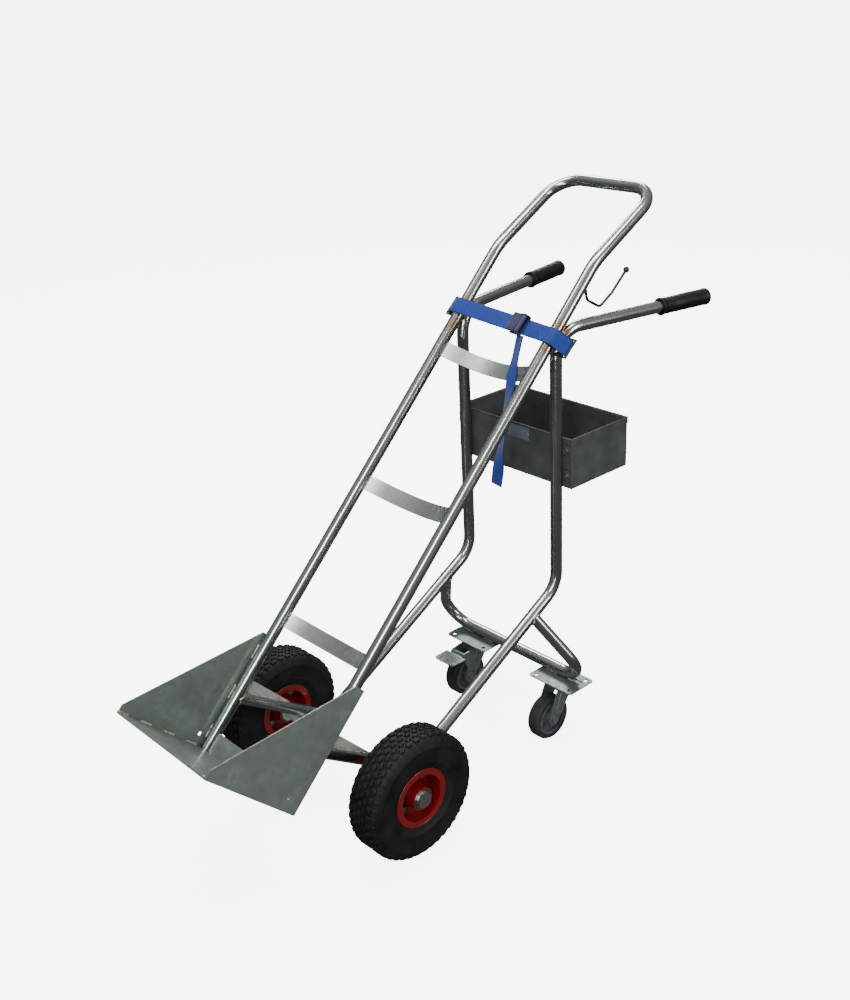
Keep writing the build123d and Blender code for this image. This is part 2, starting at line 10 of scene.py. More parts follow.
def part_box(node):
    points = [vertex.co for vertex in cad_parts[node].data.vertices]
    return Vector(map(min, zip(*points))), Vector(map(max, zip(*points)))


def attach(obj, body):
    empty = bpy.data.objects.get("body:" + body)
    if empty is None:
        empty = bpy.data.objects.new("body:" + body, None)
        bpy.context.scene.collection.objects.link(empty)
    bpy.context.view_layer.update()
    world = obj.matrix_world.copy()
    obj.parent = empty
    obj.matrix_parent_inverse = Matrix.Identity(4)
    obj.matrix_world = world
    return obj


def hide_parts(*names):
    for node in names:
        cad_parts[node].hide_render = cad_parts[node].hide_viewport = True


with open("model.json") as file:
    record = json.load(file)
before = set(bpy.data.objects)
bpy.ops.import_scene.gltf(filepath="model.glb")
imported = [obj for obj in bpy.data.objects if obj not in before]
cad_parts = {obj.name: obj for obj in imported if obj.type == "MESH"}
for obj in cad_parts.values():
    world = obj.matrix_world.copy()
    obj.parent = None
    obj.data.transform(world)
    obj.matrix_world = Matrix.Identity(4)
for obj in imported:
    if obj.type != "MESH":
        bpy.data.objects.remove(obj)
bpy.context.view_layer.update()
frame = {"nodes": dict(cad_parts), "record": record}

bl_info = {
    "name": "Hand Truck",
    "version": (1, 0, 0),
    "blender": (4, 5, 0),
    "location": "3D View > Sidebar > Hand Truck",
    "description": "Gives a welded tube hand truck its tyres, welds, webbing and surface finishes",
    "category": "Add Mesh",
}

MM = 0.001
AXLE = (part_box("axle")[0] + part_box("axle")[1]) / 2
SLOPE = math.radians(44.9)
FOOT_Y, FOOT_Z = -232, 174
UPRIGHT_X, TUBE_RADIUS = 131, 12.5
HANDLE_Y, HANDLE_LENGTH, HANDLE_SPLAY = 502, 391, math.radians(10.8)
STRAP_HEIGHT, STRAP_SLANT, STRAP_GAP = 1027, math.radians(-3.7), 0.1
BOX_FRONT, BOX_DEPTH = 514.5, 174
WHEELS = {"left_wheel": 210.5, "right_wheel": -210.5}
CASTORS = {"left": 146.0, "right": -113.0}
CASTOR_AXLE = (456, 50)


# ---------------------------------------------------------------- placing
def spot(x, y, z):
    """Place from millimetres across, behind the axle and above the ground."""
    return Vector((x * MM, AXLE.y + y * MM, z * MM))


def upright(x, along, out):
    """Place from millimetres across, along the uprights from their foot, and out of their front."""
    return spot(x, FOOT_Y + along * math.cos(SLOPE) - out * math.sin(SLOPE),
                FOOT_Z + along * math.sin(SLOPE) + out * math.cos(SLOPE))


def on_strap(x, up, out):
    """Place on the slanted strap, in millimetres along it, up across its width and out of its face."""
    c, s = math.cos(STRAP_SLANT), math.sin(STRAP_SLANT)
    return upright(x * c - up * s, STRAP_HEIGHT + x * s + up * c, out)


# ---------------------------------------------------------------- meshes
def keep(name, mesh, body, finish):
    """Links a finished mesh as a piece of that body, with its material."""
    mesh.name = name
    piece = bpy.data.objects.new(name, mesh)
    bpy.context.scene.collection.objects.link(piece)
    mesh.materials.clear()
    mesh.materials.append(material(finish))
    for face in mesh.polygons:
        face.use_smooth = True
    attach(piece, body)
    return piece


def grid(name, rows, wrap_rows=False, wrap_across=False, caps=False, marks=None):
    """Skin over rows of points; marks gives each point its place on the cloth for the weave."""
    work = bmesh.new()
    made = [[work.verts.new(p) for p in row] for row in rows]
    count, across = len(rows), len(rows[0])
    layer = work.loops.layers.uv.new("weave") if marks else None
    where = {v: marks[i][j] for i, row in enumerate(made) for j, v in enumerate(row)} if marks else {}
    for i in range(count if wrap_rows else count - 1):
        for j in range(across if wrap_across else across - 1):
            a, b = made[i], made[(i + 1) % count]
            work.faces.new((a[j], a[(j + 1) % across], b[(j + 1) % across], b[j]))
    if caps:
        work.faces.new(list(reversed(made[0])))
        work.faces.new(made[-1])
    if marks:
        for face in work.faces:
            for loop in face.loops:
                loop[layer].uv = where[loop.vert]
    bmesh.ops.remove_doubles(work, verts=work.verts, dist=1e-7)
    bmesh.ops.recalc_face_normals(work, faces=work.faces)
    mesh = bpy.data.meshes.new(name)
    work.to_mesh(mesh)
    work.free()
    return mesh


def extruded(name, outline, place, low, high, bevel):
    """Outline of (u, v) points in millimetres carried from w low to high by a placing function.

    The sharp edges are rounded by the bevel.
    """
    work = bmesh.new()
    ends = [[work.verts.new(place(u, v, w)) for u, v in outline] for w in (low, high)]
    work.faces.new(ends[0])
    work.faces.new(list(reversed(ends[1])))
    for i in range(len(outline)):
        j = (i + 1) % len(outline)
        work.faces.new((ends[0][j], ends[0][i], ends[1][i], ends[1][j]))
    bmesh.ops.recalc_face_normals(work, faces=work.faces)
    rim = [e for e in work.edges if not e.is_boundary and e.calc_face_angle(0) > math.radians(25)]
    bmesh.ops.bevel(work, geom=rim, offset=bevel * MM, segments=2, affect="EDGES", clamp_overlap=True)
    mesh = bpy.data.meshes.new(name)
    work.to_mesh(mesh)
    work.free()
    return mesh


def pill(name, a, b, radius):
    """Round bar with domed ends between two places, its radius in millimetres."""
    long = (b - a).length / MM
    steps = [math.pi / 2 * i / 4 for i in range(5)]
    outline = [(radius * math.sin(t), -radius * math.cos(t)) for t in steps]
    outline += [(radius * math.cos(t), long + radius * math.sin(t)) for t in steps]
    return turned(name, outline, a, b - a, 12, closed=False)


def wire(name, points, radius):
    """Closed round wire through places, its radius in millimetres."""
    curve = bpy.data.curves.new(name, "CURVE")
    curve.dimensions = "3D"
    curve.bevel_depth = radius * MM
    curve.bevel_resolution = 3
    curve.use_fill_caps = True
    line = curve.splines.new("POLY")
    line.points.add(len(points) - 1)
    for point, place in zip(line.points, points):
        point.co = (*place, 1)
    line.use_cyclic_u = True
    holder = bpy.data.objects.new(name, curve)
    mesh = bpy.data.meshes.new_from_object(holder)
    bpy.data.objects.remove(holder)
    return mesh


def seam(node, foot, way, near, reach):
    """Closed run round the edge where a tube is cut to sit on another, whose line passes through foot."""
    sectors, lift = 24, 0.4
    way = way.normalized()
    cut = []
    for v in frame["nodes"][node].data.vertices:
        gap = v.co - foot
        gap = gap - way * gap.dot(way)
        if abs(gap.length - TUBE_RADIUS * MM) < 0.2 * MM and (v.co - near).length < reach * MM:
            cut.append(v.co.copy())
    if not cut:
        return []
    middle = sum(cut, Vector()) / len(cut)
    axis = middle - foot
    axis = (axis - way * axis.dot(way)).normalized()
    side = axis.cross(way)
    best = {}
    for p in cut:
        u, v = (p - middle).dot(way), (p - middle).dot(side)
        key = round(math.atan2(u, v) / (2 * math.pi) * sectors) % sectors
        if key not in best or math.hypot(u, v) > best[key][0]:
            best[key] = (math.hypot(u, v), p + axis * lift * MM)
    run = [best[k][1] for k in sorted(best)]
    return run + run[:1]


def turned(name, outline, centre, axis, steps, closed=True):
    """Outline of (radius, height) points in millimetres turned about an axis through the centre."""
    axis = Vector(axis).normalized()
    side = axis.orthogonal().normalized()
    other = axis.cross(side)
    rows = []
    for i in range(steps):
        angle = 2 * math.pi * i / steps
        out = side * math.cos(angle) + other * math.sin(angle)
        rows.append([centre + (out * r + axis * h) * MM for r, h in outline])
    return grid(name, rows, wrap_rows=True, wrap_across=closed)


def block(name, chamfer=0.12):
    """Unit block with broken edges, narrower at the top as moulded lugs are."""
    work = bmesh.new()
    bmesh.ops.create_cube(work, size=1)
    for v in work.verts:
        if v.co.z > 0:
            v.co.x *= 0.86
            v.co.y *= 0.84
    top = [e for e in work.edges if all(v.co.z > 0 for v in e.verts)
           or abs(e.verts[0].co.z - e.verts[1].co.z) > 0.5]
    bmesh.ops.bevel(work, geom=top, offset=chamfer, segments=1, affect="EDGES")
    mesh = bpy.data.meshes.new(name)
    work.to_mesh(mesh)
    work.free()
    return mesh


def smooth_line(name, points):
    """Points of a smooth line with the given control points, as a NURBS spline draws it."""
    curve = bpy.data.curves.new(name, "CURVE")
    curve.dimensions = "3D"
    curve.resolution_u = 24
    line = curve.splines.new("NURBS")
    line.points.add(len(points) - 1)
    for point, place in zip(line.points, points):
        point.co = (*place, 1)
    line.order_u = 3
    line.use_endpoint_u = True
    holder = bpy.data.objects.new(name, curve)
    mesh = bpy.data.meshes.new_from_object(holder)
    path = [v.co.copy() for v in mesh.vertices]
    bpy.data.objects.remove(holder)
    bpy.data.meshes.remove(mesh)
    return path


def webbing(name, path, width, thick, facing, twist=()):
    """Band of webbing along a path, its width turned about the path by (share of length, degrees) steps."""
    half, edge = width / 2, thick / 2
    flat = [-half + 1, -half * 0.66, -half * 0.33, 0, half * 0.33, half * 0.66, half - 1]
    section = [(u, edge) for u in flat] + [(half - 0.25, edge * 0.7), (half, 0), (half - 0.25, -edge * 0.7)]
    section += [(u, -edge) for u in reversed(flat)]
    section += [(-half + 0.25, -edge * 0.7), (-half, 0), (-half + 0.25, edge * 0.7)]
    lengths = [0.0]
    for a, b in zip(path, path[1:]):
        lengths.append(lengths[-1] + (b - a).length)
    rows, marks = [], []
    for i, place in enumerate(path):
        way = (path[min(i + 1, len(path) - 1)] - path[max(i - 1, 0)]).normalized()
        across = (facing - way * facing.dot(way)).normalized()
        share = lengths[i] / lengths[-1]
        across = Matrix.Rotation(math.radians(eased(twist, share)), 3, way) @ across
        out = way.cross(across)
        rows.append([place + (across * u + out * h) * MM for u, h in section])
        marks.append([(u * MM, lengths[i]) for u, h in section])
    return grid(name, rows, wrap_across=True, caps=True, marks=marks)


def eased(steps, share):
    """Value between (share, value) steps, easing in and out of each."""
    if not steps:
        return 0.0
    for (a, low), (b, high) in zip(steps, steps[1:]):
        if share <= b:
            t = min(max((share - a) / (b - a), 0), 1)
            return low + (high - low) * t * t * (3 - 2 * t)
    return steps[-1][1]


# ------------------------------------------------------------ node helpers
def add(tree, kind, settings=None, **inputs):
    """Adds one node with its settings, and sets or links the inputs, by identifier or name."""
    node = tree.nodes.new(kind)
    for key, value in (settings or {}).items():
        setattr(node, key, value)
    for key, value in inputs.items():
        found = [s for s in node.inputs if s.identifier == key]
        found += [s for s in node.inputs if s.name == key.replace("_", " ")]
        if isinstance(value, bpy.types.NodeSocket):
            tree.links.new(value, found[0])
        else:
            found[0].default_value = value
    return node


def linear(code):
    """Linear colour of an sRGB hex code."""
    parts = [int(code[i:i + 2], 16) / 255 for i in (1, 3, 5)]
    return [*(v / 12.92 if v <= 0.04045 else ((v + 0.055) / 1.055) ** 2.4 for v in parts), 1.0]


def tone(colour, share):
    """The same colour, darker or lighter by a share."""
    return (*(c * share for c in colour[:3]), 1)


# --------------------------------------------------------- geometry trees
def new_tree(name, sizes):
    """Geometry tree with a mesh input and output and the named inputs."""
    tree = bpy.data.node_groups.new(name, "GeometryNodeTree")
    tree.interface.new_socket("Geometry", in_out="INPUT", socket_type="NodeSocketGeometry")
    for key, kind, value in sizes:
        socket = tree.interface.new_socket(key, in_out="INPUT", socket_type=kind)
        if value is not None:
            socket.default_value = value
    tree.interface.new_socket("Geometry", in_out="OUTPUT", socket_type="NodeSocketGeometry")
    return tree, add(tree, "NodeGroupInput").outputs


def close_tree(tree, geometry, finish):
    """Ends a tree in real mesh with its material set."""
    real = add(tree, "GeometryNodeRealizeInstances", Geometry=geometry)
    done = add(tree, "GeometryNodeSetMaterial", Geometry=real.outputs[0], Material=finish)
    add(tree, "NodeGroupOutput", Geometry=done.outputs[0])
    return tree


def ring_tree():
    """Copies of a block in a ring about X, each tilted, twisted and set out from the middle plane."""
    found = bpy.data.node_groups.get("Ring of blocks")
    if found:
        return found
    number, size = "NodeSocketFloat", "NodeSocketVector"
    tree, given = new_tree("Ring of blocks", [
        ("Copies", "NodeSocketInt", 44), ("Radius", number, 0.125), ("Offset", number, 0.0),
        ("Size", size, (0.01, 0.01, 0.01)), ("Tilt", number, 0.0), ("Twist", number, 0.0),
        ("Phase", number, 0.0),
        ("Centre", size, (0, 0, 0)), ("Finish", "NodeSocketMaterial", None)])
    lean = add(tree, "ShaderNodeCombineXYZ", Y=given["Tilt"], Z=given["Twist"])
    sized = add(tree, "GeometryNodeTransform", Geometry=given["Geometry"], Scale=given["Size"])
    copy = add(tree, "GeometryNodeTransform", Geometry=sized.outputs[0], Rotation=lean.outputs[0])
    row = add(tree, "GeometryNodePoints", Count=given["Copies"])
    place = add(tree, "ShaderNodeMath", {"operation": "ADD"},
                Value=add(tree, "GeometryNodeInputIndex").outputs[0],
                Value_001=given["Phase"])
    share = add(tree, "ShaderNodeMath", {"operation": "DIVIDE"}, Value=place.outputs[0],
                Value_001=given["Copies"])
    angle = add(tree, "ShaderNodeMath", {"operation": "MULTIPLY"}, Value=share.outputs[0],
                Value_001=2 * math.pi).outputs[0]
    back = add(tree, "ShaderNodeMath", {"operation": "SUBTRACT"}, Value=angle, Value_001=math.pi / 2)
    turn = add(tree, "ShaderNodeCombineXYZ", X=back.outputs[0])
    c = add(tree, "ShaderNodeMath", {"operation": "COSINE"}, Value=angle)
    s = add(tree, "ShaderNodeMath", {"operation": "SINE"}, Value=angle)
    y = add(tree, "ShaderNodeMath", {"operation": "MULTIPLY"}, Value=c.outputs[0],
            Value_001=given["Radius"])
    z = add(tree, "ShaderNodeMath", {"operation": "MULTIPLY"}, Value=s.outputs[0],
            Value_001=given["Radius"])
    ring = add(tree, "ShaderNodeCombineXYZ", X=given["Offset"], Y=y.outputs[0], Z=z.outputs[0])
    spread = add(tree, "GeometryNodeSetPosition", Geometry=row.outputs[0], Position=ring.outputs[0])
    facing = add(tree, "FunctionNodeEulerToRotation", Euler=turn.outputs[0])
    copies = add(tree, "GeometryNodeInstanceOnPoints", Points=spread.outputs[0], Instance=copy.outputs[0],
                 Rotation=facing.outputs[0])
    put = add(tree, "GeometryNodeTransform", Geometry=copies.outputs[0], Translation=given["Centre"])
    return close_tree(tree, put.outputs[0], given["Finish"])


def run_tree():
    """Rounded beads along a line, each turned along it and varied in size."""
    found = bpy.data.node_groups.get("Run of beads")
    if found:
        return found
    number = "NodeSocketFloat"
    tree, given = new_tree("Run of beads", [
        ("Spacing", number, 0.002), ("Size", "NodeSocketVector", (0.003, 0.005, 0.004)),
        ("Variation", number, 0.1), ("Roundness", "NodeSocketInt", 2), ("Seed", "NodeSocketInt", 7),
        ("Finish", "NodeSocketMaterial", None)])
    line = add(tree, "GeometryNodeMeshToCurve", Mesh=given["Geometry"])
    even = add(tree, "GeometryNodeResampleCurve", Curve=line.outputs[0], Length=given["Spacing"])
    even.mode = "LENGTH"
    bead = add(tree, "GeometryNodeMeshIcoSphere", Radius=0.5, Subdivisions=given["Roundness"])
    sized = add(tree, "GeometryNodeTransform", Geometry=bead.outputs[0], Scale=given["Size"])
    along = add(tree, "FunctionNodeAlignRotationToVector", {"axis": "X"},
                Vector=add(tree, "GeometryNodeInputTangent").outputs[0])
    low = add(tree, "ShaderNodeMath", {"operation": "SUBTRACT"}, Value=1.0, Value_001=given["Variation"])
    high = add(tree, "ShaderNodeMath", {"operation": "ADD"}, Value=1.0, Value_001=given["Variation"])
    vary = add(tree, "FunctionNodeRandomValue", {"data_type": "FLOAT"}, Min_001=low.outputs[0],
               Max_001=high.outputs[0], Seed=given["Seed"])
    copies = add(tree, "GeometryNodeInstanceOnPoints", Points=even.outputs[0], Instance=sized.outputs[0],
                 Rotation=along.outputs[0], Scale=vary.outputs[1])
    return close_tree(tree, copies.outputs[0], given["Finish"])


def repeated(name, mesh, tree, values):
    """Runs a geometry tree over a mesh and returns the result as a plain mesh."""
    holder = bpy.data.objects.new(name, mesh)
    bpy.context.scene.collection.objects.link(holder)
    step = holder.modifiers.new("Repeat", "NODES")
    step.node_group = tree
    sockets = {s.name: s.identifier for s in tree.interface.items_tree if s.in_out == "INPUT"}
    for key, value in values.items():
        step[sockets[key]] = value
    bpy.context.view_layer.update()
    result = bpy.data.meshes.new_from_object(holder.evaluated_get(bpy.context.evaluated_depsgraph_get()))
    bpy.data.objects.remove(holder)
    return result


def lines(name, runs):
    """Mesh of open edge runs, for beads and stitches to follow."""
    points, edges = [], []
    for run in runs:
        start = len(points)
        points += [tuple(p) for p in run]
        edges += [(start + i, start + i + 1) for i in range(len(run) - 1)]
    mesh = bpy.data.meshes.new(name)
    mesh.from_pydata(points, edges, [])
    return mesh


def joined(name, meshes):
    """One mesh from several, keeping their places."""
    work = bmesh.new()
    for mesh in meshes:
        work.from_mesh(mesh)
    result = bpy.data.meshes.new(name)
    work.to_mesh(result)
    work.free()
    return result


# --------------------------------------------------------------- materials
def start(name, **constants):
    """A new Principled material: its tree, its shader and the object's own coordinates."""
    made = bpy.data.materials.new(name)
    made.use_nodes = True
    shader = made.node_tree.nodes["Principled BSDF"]
    for key, value in constants.items():
        shader.inputs[key.replace("_", " ")].default_value = value
    place = add(made.node_tree, "ShaderNodeTexCoord").outputs["Object"]
    return made, made.node_tree, shader, place


def cloudy(tree, place, size, low, high, detail=3.0):
    """Soft patches of a real size in millimetres, as a value between low and high."""
    patches = add(tree, "ShaderNodeTexNoise", Vector=place, Scale=1000 / size, Detail=detail, Roughness=0.6)
    return add(tree, "ShaderNodeMapRange", Value=patches.outputs["Fac"], From_Min=0.32, From_Max=0.68,
               To_Min=low, To_Max=high).outputs[0]


def finished(tree, shader, colour, roughness, height, depth):
    """Links colour, roughness and relief, the relief's depth being in millimetres."""
    tree.links.new(colour, shader.inputs["Base Color"])
    tree.links.new(roughness, shader.inputs["Roughness"])
    relief = add(tree, "ShaderNodeBump", Height=height, Strength=1.0, Distance=depth * MM)
    tree.links.new(relief.outputs[0], shader.inputs["Normal"])


def plated(name, light, dark, smooth, rough, cloud=14, grain=0.7, relief=0.02, metal=1.0):
    """Plated steel: patches of brighter and duller zinc over a fine drawn grain."""
    made, tree, shader, place = start(name, Metallic=metal)
    patch = cloudy(tree, place, cloud, 0.0, 1.0)
    shade = add(tree, "ShaderNodeMix", {"data_type": "RGBA"}, Factor_Float=patch, A_Color=linear(dark),
                B_Color=linear(light))
    fine = cloudy(tree, place, grain, 0.0, 1.0, 2.0)
    gloss = add(tree, "ShaderNodeMapRange", Value=patch, To_Min=rough, To_Max=smooth)
    finished(tree, shader, shade.outputs[2], gloss.outputs[0], fine, relief)
    return made, tree, shader, place, shade.outputs[2]


def zinc_tube():
    # Drawn tube, bright zinc plated: sharp streaks of light, slight clouding,
    # and straw to brown heat tint beside the handle welds.
    made, tree, shader, place, shade = plated("bright zinc plated tube", "#B4BBB6", "#A2A9A3", 0.19, 0.22,
                                              90, 0.7, 0.0)
    tint = None
    for x in (UPRIGHT_X, -UPRIGHT_X):
        for y, z, size in ((HANDLE_Y, 905, 34), (470, 880, 24)):
            gap = add(tree, "ShaderNodeVectorMath", {"operation": "DISTANCE"}, Vector=place,
                      Vector_001=spot(x, y, z))
            near = add(tree, "ShaderNodeMapRange", Value=gap.outputs["Value"], From_Min=size * MM,
                       From_Max=size * 0.45 * MM)
            tint = near.outputs[0] if tint is None else add(
                tree, "ShaderNodeMath", {"operation": "MAXIMUM"}, Value=tint,
                Value_001=near.outputs[0]).outputs[0]
    broken = cloudy(tree, place, 11, 0.25, 1.0)
    amount = add(tree, "ShaderNodeMath", {"operation": "MULTIPLY"}, Value=tint, Value_001=broken)
    heat = add(tree, "ShaderNodeMix", {"data_type": "RGBA"}, Factor_Float=broken,
               A_Color=linear("#8A5A38"), B_Color=linear("#B98A5A"))
    final = add(tree, "ShaderNodeMix", {"data_type": "RGBA"}, Factor_Float=amount.outputs[0],
                A_Color=shade, B_Color=heat.outputs[2])
    tree.links.new(final.outputs[2], shader.inputs["Base Color"])
    return made


def bright_bar():
    # Rolled flat bar, zinc plated: a little duller than the tube, with fine rolling grain.
    return plated("zinc plated flat bar", "#C9CECE", "#AEB4B5", 0.26, 0.36, 30, 0.9, 0.03)[0]


def castor_steel():
    # Pressed sheet, zinc plated: greyer, softer reflections than the tubes.
    return plated("zinc plated pressing", "#717A76", "#5A635F", 0.28, 0.40, 14, 0.6, 0.02, 0.7)[0]


def fastener_steel():
    # Small turned and headed parts, zinc plated: clean small highlights.
    return plated("zinc plated fastener", "#D5D8D6", "#A4A8A6", 0.22, 0.34, 4, 0.5, 0.01)[0]


def bearing_steel():
    # Ground bearing ring: smooth grey steel with a trace of grease.
    return plated("ground bearing steel", "#9DA3A3", "#6E7474", 0.18, 0.40, 6, 0.4, 0.01)[0]


def weld_metal():
    # Arc weld bead under plating: bright ripples with brown scale between them.
    return plated("plated weld bead", "#C9C7C0", "#8C7F70", 0.30, 0.48, 5, 0.8, 0.05)[0]


def grey_steel():
    # Hot-dip galvanised plate: dull, softly mottled grey.
    return plated("dull galvanised plate", "#A5A9A2", "#8C918B", 0.36, 0.52, 10, 1.2, 0.03, 0.45)[0]


def galvanised_sheet():
    # Hot-dip galvanised sheet: grey-green crystals, each catching the light its own way.
    crystal = 11
    made, tree, shader, place = start("galvanised sheet", Metallic=0.6)
    crystals = add(tree, "ShaderNodeTexVoronoi", {"feature": "F1"}, Vector=place, Scale=1000 / crystal)
    split = add(tree, "ShaderNodeSeparateColor", Color=crystals.outputs["Color"])
    shade = add(tree, "ShaderNodeMix", {"data_type": "RGBA"}, Factor_Float=split.outputs[0],
                A_Color=linear("#6C766F"), B_Color=linear("#79827B"))
    worn = cloudy(tree, place, 60, 0.0, 1.0, 6.0)
    stain = add(tree, "ShaderNodeMix", {"data_type": "RGBA"}, Factor_Float=worn, A_Color=shade.outputs[2],
                B_Color=linear("#69726B"))
    gloss = add(tree, "ShaderNodeMapRange", Value=split.outputs[1], To_Min=0.30, To_Max=0.52)
    fine = cloudy(tree, place, 1.5, 0.0, 1.0)
    finished(tree, shader, stain.outputs[2], gloss.outputs[0], fine, 0.04)
    return made


def rubber(name, dark, dusty, grain, relief, rough=0.72):
    """Moulded rubber: near black with grey dust lying in patches."""
    made, tree, shader, place = start(name, Specular_IOR_Level=0.28)
    dust = cloudy(tree, place, 35, 0.0, 1.0, 6.0)
    shade = add(tree, "ShaderNodeMix", {"data_type": "RGBA"}, Factor_Float=dust, A_Color=dark,
                B_Color=dusty)
    gloss = add(tree, "ShaderNodeMapRange", Value=dust, To_Min=rough - 0.12, To_Max=rough + 0.12)
    fine = cloudy(tree, place, grain, 0.0, 1.0)
    finished(tree, shader, shade.outputs[2], gloss.outputs[0], fine, relief)
    return made


def tyre_rubber():
    # Moulded tyre rubber: deep black, a soft sheen on the sidewalls and a little dust.
    return rubber("moulded tyre rubber", linear("#050506"), linear("#0F1011"), 1.2, 0.05, 0.66)


def castor_rubber():
    # Castor tread rubber: dark grey, scuffed where it rolls.
    return rubber("castor tread rubber", linear("#0E0F10"), linear("#222426"), 1.5, 0.05)


def castor_core():
    # Moulded nylon wheel centre: grey, slightly shiny.
    return rubber("moulded nylon core", linear("#2B2D2F"), linear("#4A4D50"), 0.8, 0.02, 0.45)


def valve_rubber():
    # Small black rubber valve stem.
    return rubber("valve stem rubber", linear("#111111"), linear("#222222"), 0.6, 0.01)


def grip_rubber():
    # Dipped vinyl grip: black with a soft broad sheen and fine pebbling.
    shade = bpy.context.scene.handtruck_colours.grips
    return rubber("black vinyl grip", shade, tone(shade, 2.0), 0.9, 0.04, 0.42)


def painted(name, shade, worn, rough, peel, coat=0.0):
    """Sprayed paint: orange peel, slightly uneven shade and fine dust specks."""
    made, tree, shader, place = start(name, Coat_Weight=coat, Coat_Roughness=0.12)
    patch = cloudy(tree, place, 40, 0.0, 1.0, 5.0)
    colour = add(tree, "ShaderNodeMix", {"data_type": "RGBA"}, Factor_Float=patch, A_Color=shade,
                 B_Color=worn)
    gloss = add(tree, "ShaderNodeMapRange", Value=patch, To_Min=rough, To_Max=rough + 0.14)
    fine = cloudy(tree, place, peel, 0.0, 1.0, 1.0)
    finished(tree, shader, colour.outputs[2], gloss.outputs[0], fine, 0.03)
    return made


def red_rim():
    # Gloss red stoving enamel on pressed rims: deep red with crisp highlights.
    shade = bpy.context.scene.handtruck_colours.rims
    return painted("red stove enamel", shade, tone(shade, 0.65), 0.28, 3.0, 0.3)


def box_paint():
    # Powder coat on folded sheet: dark grey with a green cast and a fine pebble.
    shade = bpy.context.scene.handtruck_colours.tool_box
    return painted("dark grey powder coat", shade, tone(shade, 1.6), 0.42, 1.6)


def hook_steel():
    # Black powder coat on bent rod.
    return painted("black powder coat", linear("#0D0E0F"), linear("#1A1B1C"), 0.35, 1.2)


def dark_steel():
    # Blackened steel lugs.
    return painted("blackened steel", linear("#141519"), linear("#24262B"), 0.40, 1.0)


def buckle_steel():
    # Cast buckle with dark navy paint, smooth with worn edges.
    shade = bpy.context.scene.handtruck_colours.buckle
    return painted("navy painted buckle", shade, tone(shade, 2.4), 0.34, 1.4, 0.2)


def label_plate():
    # Blank printed plate: pale grey-blue vinyl, slightly shiny.
    return painted("blank pale label", linear("#48525A"), linear("#3E484F"), 0.38, 0.8)


def webbing_cloth():
    # Woven polyester webbing: royal blue twill with a soft sheen, its ridges drawn coarse enough to show;
    # the valleys between the ridges carry painted shade.
    ridge_pitch, pick_pitch, border_from, border_to = 0.0022, 0.0016, 0.0150, 0.0158
    shade = bpy.context.scene.handtruck_colours.strap
    made, tree, shader, place = start("royal blue webbing", Sheen_Weight=0.15, Sheen_Roughness=0.4,
                                      Specular_IOR_Level=0.3)
    cloth = add(tree, "ShaderNodeUVMap", {"uv_map": "weave"}).outputs[0]
    split = add(tree, "ShaderNodeSeparateXYZ", Vector=cloth)
    across = add(tree, "ShaderNodeMath", {"operation": "MULTIPLY"}, Value=split.outputs[0],
                 Value_001=2 * math.pi / ridge_pitch)
    along = add(tree, "ShaderNodeMath", {"operation": "MULTIPLY"}, Value=split.outputs[1],
                Value_001=2 * math.pi / pick_pitch)
    ridge = add(tree, "ShaderNodeMath", {"operation": "SINE"}, Value=across.outputs[0])
    lean = add(tree, "ShaderNodeMath", {"operation": "ADD"}, Value=across.outputs[0],
               Value_001=along.outputs[0])
    twill = add(tree, "ShaderNodeMath", {"operation": "SINE"}, Value=lean.outputs[0])
    weave = add(tree, "ShaderNodeMath", {"operation": "MULTIPLY_ADD"}, Value=twill.outputs[0],
                Value_001=0.6, Value_002=ridge.outputs[0])
    level = add(tree, "ShaderNodeMapRange", Value=weave.outputs[0], From_Min=-1.6, From_Max=1.6)
    edge = add(tree, "ShaderNodeMath", {"operation": "ABSOLUTE"}, Value=split.outputs[0])
    border = add(tree, "ShaderNodeMapRange", Value=edge.outputs[0], From_Min=border_from,
                 From_Max=border_to)
    # Painted shade: where the weave relief is low its colour drops to a third of the strap colour, and the
    # ridges keep the full colour.
    painted_weave_shade = add(tree, "ShaderNodeMix", {"data_type": "RGBA"}, Factor_Float=level.outputs[0],
               A_Color=tone(shade, 0.3), B_Color=shade)
    faded = cloudy(tree, place, 30, 0.0, 0.35, 4.0)
    lit = add(tree, "ShaderNodeMix", {"data_type": "RGBA"}, Factor_Float=faded, A_Color=painted_weave_shade.outputs[2],
              B_Color=tone(shade, 0.35))
    hem = add(tree, "ShaderNodeMix", {"data_type": "RGBA"}, Factor_Float=border.outputs[0],
              A_Color=lit.outputs[2], B_Color=tone(shade, 0.25))
    gloss = add(tree, "ShaderNodeMapRange", Value=level.outputs[0], To_Min=0.78, To_Max=0.6)
    finished(tree, shader, hem.outputs[2], gloss.outputs[0], level.outputs[0], 0.18)
    return made


def thread():
    # Bonded polyester sewing thread, paler blue than the webbing.
    return rubber("blue sewing thread", linear("#1A3F90"), linear("#2850A0"), 0.5, 0.02, 0.6)


FINISHES = {f.__name__: f for f in (
    zinc_tube, bright_bar, castor_steel, fastener_steel, bearing_steel, weld_metal, grey_steel,
    galvanised_sheet, tyre_rubber, castor_rubber, castor_core, valve_rubber, grip_rubber, red_rim,
    box_paint, hook_steel, dark_steel, buckle_steel, label_plate, webbing_cloth, thread)}
MADE = {}
SLOT_FINISH = {"webbing": "webbing_cloth", "label": "label_plate"}
PIECE_FINISH = {"tool_box_lugs": "box_paint"}


def material(name):
    """The named finish, made once."""
    if name not in MADE:
        MADE[name] = FINISHES[name]()
    return MADE[name]


# -------------------------------------------------------------- properties
class TyreSizes(bpy.types.PropertyGroup):
    blocks: IntProperty(name="Tread blocks", description="Blocks round one row of the tread", default=44,
                        min=12)
    block_height: FloatProperty(name="Block height", description="Depth of the tread grooves",
                                default=4 * MM, unit="LENGTH")


